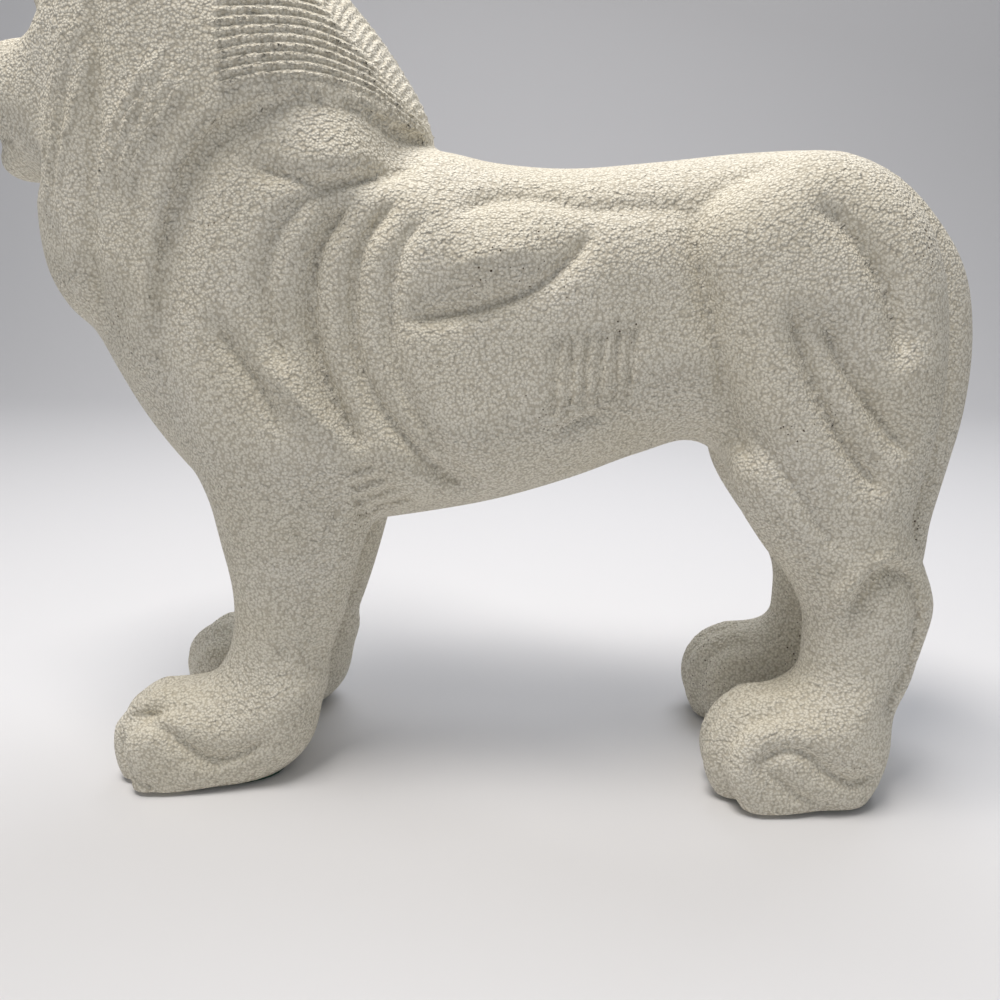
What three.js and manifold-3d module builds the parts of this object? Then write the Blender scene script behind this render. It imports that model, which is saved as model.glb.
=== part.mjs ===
// A standing lion, cast in one piece in crushed stone, on four felt pads.
// It faces -X, with +Z up and its left side to -Y. The origin is under the middle of its box, on the table.
// The figure is drawn from the side, as outlines in the XZ plane, and each outline is swelled sideways
// to its own half-width. The swelled forms are blended, carved with lines drawn in the same side view,
// and the skin of the result is taken as one closed mesh.
import * as THREE from "three";
import { mergeVertices } from "three/addons/utils/BufferGeometryUtils.js";
import Manifold from "manifold-3d";

// Driving dimensions, in millimetres.
const STATUE_LENGTH = 375;
const FELT_THICKNESS = 1.8;
const FELT_INSET = 2.5;
const GLUE_GAP = 0.3;
const SKIN_TRIANGLES = 9200;

// The drawing was made for a statue 375 long, so one drawn millimetre is this many real ones.
const DRAWN_LENGTH = 375;
const unit = STATUE_LENGTH / DRAWN_LENGTH;

// Curves and blends

const clamp = (value, low, high) => Math.min(high, Math.max(low, value));

function smoothstep(low, high, value) {
  const t = clamp((value - low) / (high - low), 0, 1);
  return t * t * (3 - 2 * t);
}

function blend(a, b, width) {
  const h = Math.max(width - Math.abs(a - b), 0) / width;
  return Math.min(a, b) - (h * h * width) / 4;
}

const cut = (a, b, width) => -blend(-a, -b, width);

// A smooth function through [place, value] stations.
function stations(table) {
  const last = table.length - 1;
  const slope = (i) => {
    const [before, after] = [table[Math.max(i - 1, 0)], table[Math.min(i + 1, last)]];
    return (after[1] - before[1]) / (after[0] - before[0]);
  };
  return (place) => {
    const at = clamp(place, table[0][0], table[last][0]);
    let i = 0;
    while (i < last - 1 && at > table[i + 1][0]) i++;
    const [[p, v], [q, w]] = [table[i], table[i + 1]];
    const span = q - p;
    const t = (at - p) / span;
    const [t2, t3] = [t * t, t * t * t];
    return (
      (2 * t3 - 3 * t2 + 1) * v +
      (t3 - 2 * t2 + t) * span * slope(i) +
      (3 * t2 - 2 * t3) * w +
      (t3 - t2) * span * slope(i + 1)
    );
  };
}

const CURVE_STEPS = 5;

function sampled(points, closed) {
  const curve = new THREE.CatmullRomCurve3(
    points.map(([x, z]) => new THREE.Vector3(x, 0, z)),
    closed,
    "catmullrom",
    0.5,
  );
  return Float64Array.from(curve.getPoints(points.length * CURVE_STEPS).flatMap((p) => [p.x, p.z]));
}

// Distance from a point to a sampled line, with the side it lies on and how far along the nearest place is.
function nearest(line, x, z) {
  let best = Infinity;
  let side = 1;
  let along = 0;
  let run = 0;
  for (let i = 0; i + 3 < line.length; i += 2) {
    const dx = line[i + 2] - line[i];
    const dz = line[i + 3] - line[i + 1];
    const [fromX, fromZ] = [x - line[i], z - line[i + 1]];
    const squared = dx * dx + dz * dz;
    const t = clamp((fromX * dx + fromZ * dz) / squared, 0, 1);
    const away = (fromX - t * dx) ** 2 + (fromZ - t * dz) ** 2;
    const length = Math.sqrt(squared);
    if (away < best - 1e-9) {
      best = away;
      side = dx * fromZ - dz * fromX < 0 ? -1 : 1;
      along = run + t * length;
    }
    run += length;
  }
  return { distance: Math.sqrt(best), side, along, length: run };
}

// Signed distance to a closed outline, below zero inside.
function outline(points) {
  const line = sampled(points, true);
  return (x, z) => {
    let inside = false;
    for (let i = 0; i + 3 < line.length; i += 2) {
      const [ax, az, bx, bz] = [line[i], line[i + 1], line[i + 2], line[i + 3]];
      if (az > z !== bz > z && x < ((bx - ax) * (z - az)) / (bz - az) + ax) inside = !inside;
    }
    const { distance } = nearest(line, x, z);
    return inside ? -distance : distance;
  };
}

// Forms

// An ellipsoid's distance, from a point given from its centre.
function ellipsoid(x, y, z, rx, ry, rz) {
  const reach = Math.hypot(x / rx, y / ry, z / rz);
  const steep = Math.hypot(x / (rx * rx), y / (ry * ry), z / (rz * rz));
  return steep < 1e-9 ? -Math.min(rx, ry, rz) : (reach * (reach - 1)) / steep;
}

// A side outline swelled sideways: edge is the signed distance to the outline, round how deep its edge rounds.
const swelled = (edge, across, round, halfWidth) =>
  ellipsoid(Math.max(0, edge + round), across, 0, round, halfWidth, 1);

// Trunk: back, rump, belly and chest
const TRUNK_ROUND = 40;
const trunkEdge = outline([
  [-146, 205], [-112, 236], [-62, 246], [-18, 245], [8, 240], [35, 238], [66, 240], [100, 243],
  [130, 243], [149, 235], [163, 215], [168, 190], [170, 160], [166, 132], [156, 112], [134, 106],
  [108, 120], [86, 136], [64, 131], [38, 121], [9, 112], [-20, 106], [-52, 101], [-82, 98],
  [-104, 111], [-124, 132], [-140, 156], [-150, 180],
]);
const trunkWidth = stations([
  [-155, 36], [-125, 44], [-90, 48], [-50, 49], [0, 49], [40, 46], [75, 41], [105, 43], [135, 45],
  [172, 36],
]);

// Front leg, from the shoulder blade to the wrist
const ARM_ROUND = 21;
const armEdge = outline([
  [-80, 262], [-97, 236], [-106, 205], [-111, 178], [-108, 152], [-103, 127], [-99, 100], [-96, 77],
  [-98, 58], [-104, 40], [-102, 22], [-75, 20], [-65, 36], [-58, 52], [-51.5, 70], [-45.5, 90],
  [-40, 110], [-40, 134], [-46, 158], [-50, 182], [-46, 205], [-37, 221], [-30, 236], [-37, 254],
  [-49, 268], [-63, 275],
]);
const armMiddle = stations([[20, 27], [60, 27], [90, 28], [115, 29], [145, 30], [225, 28], [275, 24]]);
const armWidth = stations([
  [20, 16], [60, 16.5], [90, 17.5], [115, 20], [145, 23], [200, 24.5], [228, 24.5], [246, 22], [260, 17], [280, 6],
]);

// Hind leg, from the haunch to the hock and heel
const THIGH_ROUND = 22;
const thighEdge = outline([
  [78, 212], [84, 190], [90, 165], [93, 142], [98, 121], [109, 103], [120, 89], [127, 75],
  [128, 58], [127, 40], [122, 22], [154, 16], [163, 32], [169, 46], [172.5, 62], [174.5, 80],
  [169.5, 95], [163.5, 108], [164, 126], [168, 150], [168, 178], [164, 202], [155, 221], [139, 235],
  [119, 240.5], [98, 235], [84, 225],
]);
const thighMiddle = stations([[16, 28], [60, 27.5], [90, 28], [120, 28], [150, 27], [240, 25]]);
const thighWidth = stations([[16, 16], [60, 17], [90, 18], [120, 20.5], [150, 22], [200, 23], [240, 20]]);

// Tail, a strap that follows the rump and hangs to the hocks: [x, z, radius] beads
const TAIL_BEADS = [
  [132, 234, 8], [149, 226, 10], [162, 212, 11], [172, 196, 11], [176, 174, 11.5], [176, 150, 11.5],
  [173, 127, 11], [170, 106, 10.5], [168, 86, 11], [165, 68, 8],
];
const TAIL_FLAT = 0.95;
const tailCurve = new THREE.CatmullRomCurve3(
  TAIL_BEADS.map(([x, z, radius]) => new THREE.Vector3(x, radius, z)),
  false,
  "catmullrom",
  0.5,
);
const tailBeads = tailCurve.getPoints(TAIL_BEADS.length * 4);

function tail(x, y, z) {
  let nearestBead = Infinity;
  for (let i = 0; i + 1 < tailBeads.length; i++) {
    const [a, b] = [tailBeads[i], tailBeads[i + 1]];
    const [dx, dz] = [b.x - a.x, b.z - a.z];
    const t = clamp(((x - a.x) * dx + (z - a.z) * dz) / (dx * dx + dz * dz), 0, 1);
    const away = Math.hypot(x - a.x - t * dx, y * TAIL_FLAT, z - a.z - t * dz);
    nearestBead = Math.min(nearestBead, away - (a.y + t * (b.y - a.y)));
  }
  return nearestBead;
}

// Paws: a body and four toes side by side, in a frame turned outwards about the ankle
const PAW_ROUND = 18;
const PAW_HALF_WIDTH = 21.5;
const TOE_SPACING = 10.6;
const TOE_ROUND = 7.5;
const TOE_HALF_WIDTH = 6.2;
const TOE_STAND_OUT = 1.2;
const TOE_RUN = 18;
const TOE_INSET = [3.5, 0, 0, 4.5];
const frontPaw = {
  ankle: [-82, 28],
  turn: THREE.MathUtils.degToRad(10),
  edge: outline([
    [-64, 42], [-66, 28], [-70, 12], [-82, 0], [-102, -8], [-128, -8], [-141, -2], [-145.5, 12],
    [-143.5, 25], [-135, 34], [-121, 40], [-98, 44], [-78, 54],
  ]),
  tip: -145,
  setBack: [6, 1, 0, 2],
};
const hindPaw = {
  ankle: [142, 29],
  turn: THREE.MathUtils.degToRad(5),
  edge: outline([
    [157, 36], [161, 22], [158, 6], [149, -6], [130, -9], [108, -8], [97, 3], [92, 15],
    [93, 27], [100, 37], [112, 43], [128, 50], [148, 54],
  ]),
  tip: 92,
  setBack: [5, 1, 0, 2],
};

function paw({ ankle, turn, map, tip, setBack }, x, y, z) {
  const [fromAnkle, out] = [x - ankle[0], y - ankle[1]];
  const along = ankle[0] + fromAnkle * Math.cos(turn) - out * Math.sin(turn);
  const across = fromAnkle * Math.sin(turn) + out * Math.cos(turn);
  let form = swelled(map(along - 3, z) + 1, across, PAW_ROUND, PAW_HALF_WIDTH);
  const fade = 0.35 * Math.max(0, along - tip - TOE_RUN);
  setBack.forEach((back, toe) => {
    const edge = map(along - back, z) - TOE_STAND_OUT + TOE_INSET[toe] + fade;
    form = blend(form, swelled(edge, across - (toe - 1.5) * TOE_SPACING, TOE_ROUND, TOE_HALF_WIDTH), 2.5);
  });
  return form;
}

// Mane: a mass over the neck and chest. It is cut off along the shoulder, as the hem of a cape, and along
// the face. The neck fills it, set in by the steps at those two edges.
const maneEdge = outline([
  [-16, 238], [-17, 249], [-21, 260], [-28, 272], [-38, 286], [-53, 303], [-71, 319], [-91, 332], [-112, 340],
  [-132, 339], [-146, 330], [-155, 312], [-159, 290], [-162, 265], [-165.5, 245], [-167, 230],
  [-167.5, 213], [-165, 198], [-158, 185], [-146, 173], [-130, 150], [-112, 132], [-92, 140],
  [-76, 172], [-60, 206], [-38, 224],
]);
const maneRound = stations([[-168, 26], [-140, 38], [-110, 44], [-60, 46], [-10, 46]]);
const maneWidth = stations([
  [-168, 36], [-150, 43], [-135, 48], [-115, 52], [-85, 53.5], [-55, 51], [-30, 46], [-8, 40],
]);
const HEM_POINTS = [
  [0, 233], [-9, 242], [-21, 249], [-37, 256], [-53, 258], [-69, 255], [-83, 247], [-95, 232],
  [-105, 205], [-110, 178], [-107, 150], [-100, 128], [-90, 100],
];
const HEM_ROUND = 3.5;
const HEM_STEP = 4.5;
const FACE_POINTS = [
  [-115, 356], [-125, 322], [-131, 300], [-138, 278], [-145, 256], [-151, 241], [-159, 231], [-174, 226],
  [-200, 222],
];
const FACE_ROUND = 6;
const hemLine = sampled(HEM_POINTS, false);
const faceLine = sampled(FACE_POINTS, false);

// Head: skull and muzzle, with brows, eyes, nose, lips, chin and ears
const HEAD_ROUND = 15;
const headEdge = outline([
  [-186.5, 262], [-187, 271], [-183, 278], [-172, 281.5], [-163, 284.5], [-156, 290], [-150, 297],
  [-144, 308], [-134, 320], [-118, 324], [-108, 290], [-112, 250], [-132, 233], [-156, 232], [-172, 235],
  [-180, 240], [-183, 250],
]);
const headWidth = stations([
  [-188, 13], [-180, 18], [-170, 20.5], [-163, 24.5], [-156, 31.5], [-147, 38], [-135, 42],
  [-115, 43],
]);
const EYE_SOCKET = [-162, 17, 284.5, 8.5, 9.5, 6.5];
// Each swelling: [x, y, z, length, width, height, blend]
const HEAD_SWELLINGS = [
  [-145.5, 17, 294.5, 9, 13, 6, 6],
  [-170, 0, 281, 17, 8, 5, 6],
  [-178, 9, 261, 10, 10, 10, 5],
  [-183, 0, 273.5, 5, 8.5, 5, 3],
  [-176, 0, 242, 9, 11, 7, 4],
  [-158, 24, 262, 14, 9, 17, 8],
  [-152.5, 16.5, 285, 5.5, 6.5, 4.5, 1.5],
];
const EAR = { place: [-126, 35, 328], length: 6, width: 9.5, height: 11.5, rim: 3 };
const MOUTH = { z: 251.5, droop: 0.008, half: 1.4, deep: 2.4, corner: -168 };
const LIP_PARTING = { low: 249, high: 270, half: 0.8, deep: 1.8 };

function ear(x, y, z) {
  const [fromX, fromY, fromZ] = [x - EAR.place[0], y - EAR.place[1], z - EAR.place[2]];
  const shell = ellipsoid(fromX, fromY, fromZ, EAR.length, EAR.width, EAR.height);
  const cup = ellipsoid(fromX + EAR.length, fromY, fromZ, EAR.length, EAR.width - EAR.rim, EAR.height - EAR.rim);
  return cut(shell, -cup, 2);
}

function head(x, y, z) {
  let form = swelled(headMap(x, z), y, HEAD_ROUND, headWidth(x));
  const [sx, sy, sz, sl, sw, sh] = EYE_SOCKET;
  form = cut(form, -ellipsoid(x - sx, y - sy, z - sz, sl, sw, sh), 5);
  for (const [cx, cy, cz, length, width, height, soft] of HEAD_SWELLINGS)
    form = blend(form, ellipsoid(x - cx, y - cy, z - cz, length, width, height), soft);
  const mouthLine = MOUTH.z - MOUTH.droop * y * y;
  const lips = Math.max(Math.abs(z - mouthLine) - MOUTH.half, -(form + MOUTH.deep), x - MOUTH.corner);
  const { low, high, half, deep } = LIP_PARTING;
  const parting = Math.max(y - half, low - z, z - high, -(form + deep), x - MOUTH.corner);
  return blend(cut(cut(form, -lips, 1), -parting, 1), ear(x, y, z), 3);
}

// Carving

// A carved line on the flanks: depth, and how far each side takes to rise. Left and right are as one walks the line.
const line = (depth, left, right, points) => ({ depth, left, right, path: sampled(points, false) });
const shoulderLines = [
  line(3.2, 7, 5, [[-76, 238], [-66, 234], [-54, 231], [-44, 230.5], [-34, 232], [-24, 235], [-12, 240]]),
  line(3.4, 9, 5, [[-40, 232], [-53, 225], [-61, 217], [-65, 208], [-68, 196], [-66, 180], [-60, 165]]),
  line(4.6, 7, 5, [
    [-36, 227], [-44, 219], [-49, 211], [-52, 202], [-54, 188], [-52, 172], [-47, 157], [-41, 145],
    [-35, 135],
  ]),
  line(4.6, 7, 5, [
    [-20, 228], [-29, 219], [-35, 210], [-38, 199], [-39, 184], [-37, 168], [-31, 155], [-22, 143],
    [-11, 131], [2, 120],
  ]),
  line(3.4, 5, 7, [
    [-10, 223], [-19, 213], [-24, 202], [-25.5, 190], [-25, 176], [-21, 161], [-14, 147], [-4, 133],
    [8, 121],
  ]),
  line(3, 4, 5, [[-88, 190], [-81, 176], [-74, 166], [-68, 155], [-63, 143]]),
  line(-2.4, 5, 5, [[-70, 176], [-63, 165], [-55, 155], [-46, 145], [-38, 137]]),
];
const lungLines = [
  line(4.2, 9, 4, [[-24, 185], [-6, 187], [11, 191], [24, 196], [34, 203], [41, 211], [46, 219]]),
  line(3.2, 7, 7, [
    [-8, 218], [2, 223], [14, 225.5], [28, 225], [42, 222], [56, 222.5], [70, 222], [82, 219],
  ]),
  line(-2.8, 16, 16, [[-8, 200], [4, 206], [18, 209], [30, 210]]),
  line(1.2, 2, 4, [[27, 142], [37, 149], [47, 152.5], [57, 154]]),
];
const haunchLines = [
  line(4.2, 5, 9, [
    [112, 240], [98, 234], [87, 229], [80, 222], [78, 213], [80, 202], [84, 188], [88, 174],
    [92, 160], [97, 146], [104, 132],
  ]),
  line(4.8, 11, 5, [[110, 223], [119, 220], [127, 213], [134, 204], [140, 194], [145, 180], [148, 168]]),
  line(4.6, 9, 5, [[118, 192], [122, 182], [128, 171], [136, 160], [145, 149], [157, 138]]),
  line(4.6, 8, 5, [[108, 194], [111, 184], [115, 173], [121, 160], [129, 147], [138, 135], [149, 124]]),
  line(3, 6, 6, [[97, 156], [104, 144], [112, 134], [121, 122], [130, 110], [137, 103]]),
  line(-2.6, 4, 4, [[157, 113], [151, 104], [144, 99], [137, 90], [131, 78]]),
  line(-2.4, 3.5, 3.5, [[156, 112], [161, 104], [167, 96]]),
  line(4, 4, 7, [
    [141, 76], [143, 88], [148, 97], [155, 97], [162, 90], [166, 80], [166.5, 68], [165, 56],
    [160, 44], [156, 30],
  ]),
  line(3.5, 5, 5, [[158, 122], [160, 116], [163, 109]]),
];
// The mane hangs in two broad locks, each ribbed lengthwise.
const maneLines = [
  line(4, 7, 8, [
    [-112, 338], [-117, 300], [-120, 268], [-123, 249], [-128, 224], [-131, 196], [-131, 170],
  ]),
  line(1.1, 3, 4, [[-121, 320], [-128, 285], [-135, 258], [-142, 230], [-147, 200], [-146, 176]]),
  line(1.1, 3, 4, [[-106, 330], [-109, 295], [-112, 262], [-116, 236], [-120, 208], [-121, 178]]),
  line(1.1, 3, 4, [[-99, 322], [-101, 290], [-104, 262], [-109, 236], [-113, 208], [-115, 182]]),
];
// The outer toe of each paw
const toeLines = [
  line(3.2, 6, 3, [
    [-141, 21], [-137, 27], [-129, 29.5], [-119, 28], [-111, 22], [-104, 16], [-95, 15], [-86, 19],
    [-78, 26],
  ]),
  line(2.2, 3, 4, [[-140, 25], [-136, 14], [-129, 6], [-117, 4]]),
  line(3.6, 6, 3, [
    [107, 17], [111, 24], [119, 28], [128, 26], [133, 21], [139, 17], [145, 14], [152, 16], [157, 22],
  ]),
  line(2.4, 3, 3, [[108, 24], [116, 18], [122, 12.5], [129, 8], [142, 5]]),
];
const LINE_FADE = 9;
const LINE_BLUNT = 2;

function depthOf({ depth, left, right, path }, x, z) {
  const { distance, side, along, length } = nearest(path, x, z);
  const reach = side > 0 ? left : right;
  if (distance > 4 * reach) return 0;
  const blunt = Math.sqrt(distance * distance + LINE_BLUNT * LINE_BLUNT) - LINE_BLUNT;
  const ends = smoothstep(0, LINE_FADE, along) * smoothstep(0, LINE_FADE, length - along);
  return depth * Math.exp(-blunt / (reach / 2)) * ends;
}

// The side drawing is worked out once, on a lattice of one drawn millimetre, and read between its points.
const DRAWING = { left: -200, right: 200, low: -18, high: 356 };
const DRAWING_COLUMNS = DRAWING.right - DRAWING.left + 1;
const DRAWING_ROWS = DRAWING.high - DRAWING.low + 1;

function drawing(value) {
  const table = new Float32Array(DRAWING_COLUMNS * DRAWING_ROWS);
  for (let row = 0; row < DRAWING_ROWS; row++)
    for (let column = 0; column < DRAWING_COLUMNS; column++)
      table[row * DRAWING_COLUMNS + column] = value(DRAWING.left + column, DRAWING.low + row);
  return (x, z) => {
    const column = clamp(x - DRAWING.left, 0, DRAWING_COLUMNS - 1.001);
    const row = clamp(z - DRAWING.low, 0, DRAWING_ROWS - 1.001);
    const [c, r] = [Math.floor(column), Math.floor(row)];
    const [s, t] = [column - c, row - r];
    const at = r * DRAWING_COLUMNS + c;
    const lower = table[at] * (1 - s) + table[at + 1] * s;
    const upper = table[at + DRAWING_COLUMNS] * (1 - s) + table[at + DRAWING_COLUMNS + 1] * s;
    return lower * (1 - t) + upper * t;
  };
}

const trunkMap = drawing(trunkEdge);
const armMap = drawing(armEdge);
const thighMap = drawing(thighEdge);
const maneMap = drawing(maneEdge);
const headMap = drawing(headEdge);
const edgeOf = (line) => (x, z) => {
  const { distance, side } = nearest(line, x, z);
  return side * distance;
};
const hemMap = drawing(edgeOf(hemLine));
const faceMap = drawing(edgeOf(faceLine));
const carved = (lines) => (x, z) => lines.reduce((depth, one) => depth + depthOf(one, x, z), 0);
const maneLineMap = drawing(carved(maneLines));
const toeLineMap = drawing(carved(toeLines));
const flankMap = drawing(carved([...shoulderLines, ...lungLines, ...haunchLines]));
frontPaw.map = drawing(frontPaw.edge);
hindPaw.map = drawing(hindPaw.edge);

// The whole figure as one signed distance, below zero in the stone. Both sides are alike.
function figure(x, signedY, z) {
  const y = Math.abs(signedY);
  let body = swelled(trunkMap(x, z), y, TRUNK_ROUND, trunkWidth(x));
  body = blend(body, swelled(armMap(x, z), y - armMiddle(z), ARM_ROUND, armWidth(z)), 9);
  body = blend(body, swelled(thighMap(x, z), y - thighMiddle(z), THIGH_ROUND, thighWidth(z)), 9);
  const neckEdge = Math.max(maneMap(x, z), -faceMap(x, z)) + HEM_STEP;
  const neck = swelled(neckEdge, y, maneRound(x), maneWidth(x) - HEM_STEP);
  body = blend(body, neck, 8) + flankMap(x, z) * smoothstep(20, 36, y);
  if (z < 70) {
    body = blend(body, x < 0 ? paw(frontPaw, x, y, z) : paw(hindPaw, x, y, z), 9);
    body += toeLineMap(x, z) * smoothstep(36, 44, y);
  }
  body = blend(body, tail(x, y, z), 5);
  let mane = swelled(maneMap(x, z), y, maneRound(x), maneWidth(x)) + maneLineMap(x, z) * smoothstep(10, 30, y);
  mane = cut(cut(mane, hemMap(x, z), HEM_ROUND), -faceMap(x, z), FACE_ROUND);
  body = blend(body, mane, 2);
  return x < -100 && z > 225 ? blend(body, head(x, y, z), 5) : body;
}

// Skin: the surface of the figure, found in tetrahedra that fill a lattice of cubes, whose layers are counted
// from the top down
const CELL = 2.4;
const BOX = { low: [-197, -67, -15], high: [197, 67, 352] };
const counts = BOX.low.map((low, axis) => Math.ceil((BOX.high[axis] - low) / CELL) + 1);
const strides = [1, counts[0], counts[0] * counts[1]];
// A cube's corners are numbered by the axes that lead to them, x = 1, y = 2, z = 4. Each tetrahedron
// goes from corner 0 to corner 7 along one order of the axes.
const AXIS_ORDERS = [[1, 2, 4], [2, 4, 1], [4, 1, 2], [2, 1, 4], [1, 4, 2], [4, 2, 1]];
const cornerStep = (corner) =>
  (corner & 1 ? strides[0] : 0) + (corner & 2 ? strides[1] : 0) + (corner & 4 ? strides[2] : 0);

function latticePoint(id) {
  const place = [id % counts[0], Math.floor(id / strides[1]) % counts[1], Math.floor(id / strides[2])];
  return [BOX.low[0] + place[0] * CELL, BOX.low[1] + place[1] * CELL, BOX.high[2] - place[2] * CELL];
}

// Moves a point near the surface onto it.
function settled([x, y, z]) {
  const step = 0.3;
  const value = figure(x, y, z);
  const steep = [
    figure(x + step, y, z) - figure(x - step, y, z),
    figure(x, y + step, z) - figure(x, y - step, z),
    figure(x, y, z + step) - figure(x, y, z - step),
  ].map((rise) => rise / (2 * step));
  const squared = Math.max(0.25, steep[0] ** 2 + steep[1] ** 2 + steep[2] ** 2);
  const move = clamp(value / squared, -CELL / 3, CELL / 3);
  return [x - steep[0] * move, y - steep[1] * move, z - steep[2] * move];
}

// The faces between the corners of one tetrahedron that are in the stone and those that aren't.
// The order of the corners tells which way round the tetrahedron is.
function tetrahedronFaces(corners, mirrored, isInside, crossing) {
  const inside = corners.filter(isInside);
  const outside = corners.filter((corner) => !isInside(corner));
  const sorted = [...inside, ...outside];
  let swaps = mirrored ? 1 : 0;
  for (let i = 0; i < 4; i++)
    for (let j = i + 1; j < 4; j++)
      if (corners.indexOf(sorted[i]) > corners.indexOf(sorted[j])) swaps++;
  const faces = [];
  if (inside.length === 1) faces.push(outside.map((corner) => crossing(inside[0], corner)));
  if (inside.length === 3) faces.push(inside.map((corner) => crossing(corner, outside[0])));
  if (inside.length === 2) {
    const [a, b, c, d] = sorted;
    faces.push([crossing(a, c), crossing(a, d), crossing(b, d)]);
    faces.push([crossing(a, c), crossing(b, d), crossing(b, c)]);
  }
  return swaps % 2 ? faces.map(([p, q, r]) => [p, r, q]) : faces;
}

function skin() {
  const values = new Float32Array(counts[0] * counts[1] * counts[2]);
  for (let id = 0; id < values.length; id++) values[id] = figure(...latticePoint(id));
  const points = [];
  const faces = [];
  const made = new Map();
  for (let base = 0; base < values.length; base++) {
    const place = [base % counts[0], Math.floor(base / strides[1]) % counts[1], Math.floor(base / strides[2])];
    if (place.some((n, axis) => n + 1 >= counts[axis])) continue;
    const at = (corner) => base + cornerStep(corner);
    const isInside = (corner) => values[at(corner)] < 0;
    const first = isInside(0);
    if ([1, 2, 3, 4, 5, 6, 7].every((corner) => isInside(corner) === first)) continue;
    const crossing = (one, other) => {
      const [low, high] = [Math.min(one, other), Math.max(one, other)];
      const key = at(low) * 8 + high - low;
      if (made.has(key)) return made.get(key);
      const share = clamp(values[at(low)] / (values[at(low)] - values[at(high)]), 0.1, 0.9);
      const [p, q] = [latticePoint(at(low)), latticePoint(at(high))];
      points.push(settled(p.map((from, axis) => from + share * (q[axis] - from))));
      made.set(key, points.length - 1);
      return points.length - 1;
    };
    AXIS_ORDERS.forEach(([axis, next], order) => {
      faces.push(...tetrahedronFaces([0, axis, axis + next, 7], order < 3, isInside, crossing));
    });
  }
  return { points, faces };
}

// Evens out the skin: each point moves to the middle of its neighbours, and back onto the figure.
function evened({ points, faces }) {
  const sums = points.map(() => [0, 0, 0]);
  const counted = new Uint16Array(points.length);
  for (const face of faces)
    face.forEach((v, i) => {
      points[face[(i + 1) % 3]].forEach((value, axis) => (sums[v][axis] += value));
      counted[v]++;
    });
  return { points: sums.map((sum, v) => settled(sum.map((value) => value / counted[v]))), faces };
}

// Fewer faces: edges are closed up one by one, the flattest places first, until the target is met.
// Each point keeps the sum of the planes that met in it, as the ten terms of a quadratic form.
const minus = (a, b) => [a[0] - b[0], a[1] - b[1], a[2] - b[2]];
const dot = (a, b) => a[0] * b[0] + a[1] * b[1] + a[2] * b[2];
const cross = (a, b) => [a[1] * b[2] - a[2] * b[1], a[2] * b[0] - a[0] * b[2], a[0] * b[1] - a[1] * b[0]];

function planeForm([p, q, r]) {
  const normal = cross(minus(q, p), minus(r, p));
  const size = Math.hypot(...normal) || 1e-12;
  const [a, b, c] = normal.map((n) => n / size);
  const d = -dot([a, b, c], p);
  return [a * a, a * b, a * c, a * d, b * b, b * c, b * d, c * c, c * d, d * d].map((term) => (term * size) / 2);
}

const formAt = (f, [x, y, z]) =>
  f[0] * x * x + 2 * f[1] * x * y + 2 * f[2] * x * z + 2 * f[3] * x + f[4] * y * y +
  2 * f[5] * y * z + 2 * f[6] * y + f[7] * z * z + 2 * f[8] * z + f[9];

// Where an edge closes up to: the lowest point of its form if that is near the edge, or else its middle.
function meeting(form, p, q) {
  const middle = p.map((value, axis) => (value + q[axis]) / 2);
  const [rowX, rowY, rowZ] = [[form[0], form[1], form[2]], [form[1], form[4], form[5]], [form[2], form[5], form[7]]];
  const pull = [-form[3], -form[6], -form[8]];
  const volume = dot(rowX, cross(rowY, rowZ));
  const scale = form[0] + form[4] + form[7];
  if (volume < 1e-4 * scale ** 3) return middle;
  const lowest = [
    dot(pull, cross(rowY, rowZ)) / volume,
    dot(rowX, cross(pull, rowZ)) / volume,
    dot(rowX, cross(rowY, pull)) / volume,
  ];
  return Math.hypot(...minus(lowest, middle)) < Math.hypot(...minus(p, q)) ? lowest : middle;
}

// A queue that gives up its cheapest entry first
class Queue {
  entries = [];

  push(entry) {
    const { entries } = this;
    let at = entries.length;
    while (at > 0) {
      const above = (at - 1) >> 1;
      if (entries[above].cost <= entry.cost) break;
      entries[at] = entries[above];
      at = above;
    }
    entries[at] = entry;
  }

  pop() {
    const { entries } = this;
    const first = entries[0];
    const last = entries.pop();
    if (entries.length === 0) return first;
    let at = 0;
    for (;;) {
      let below = 2 * at + 1;
      if (below >= entries.length) break;
      if (below + 1 < entries.length && entries[below + 1].cost < entries[below].cost) below++;
      if (entries[below].cost >= last.cost) break;
      entries[at] = entries[below];
      at = below;
    }
    entries[at] = last;
    return first;
  }
}

const EVENNESS = 0.00003;
const LEAST_TURN = 0.45;
const LEAST_SHAPE = 0.07;
// An edge that can't be closed up yet is tried again later, at a higher cost.
const TRIES = 12;
const RETRY_RISE = 2.5;
const RETRY_STEP = 0.003;

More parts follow.
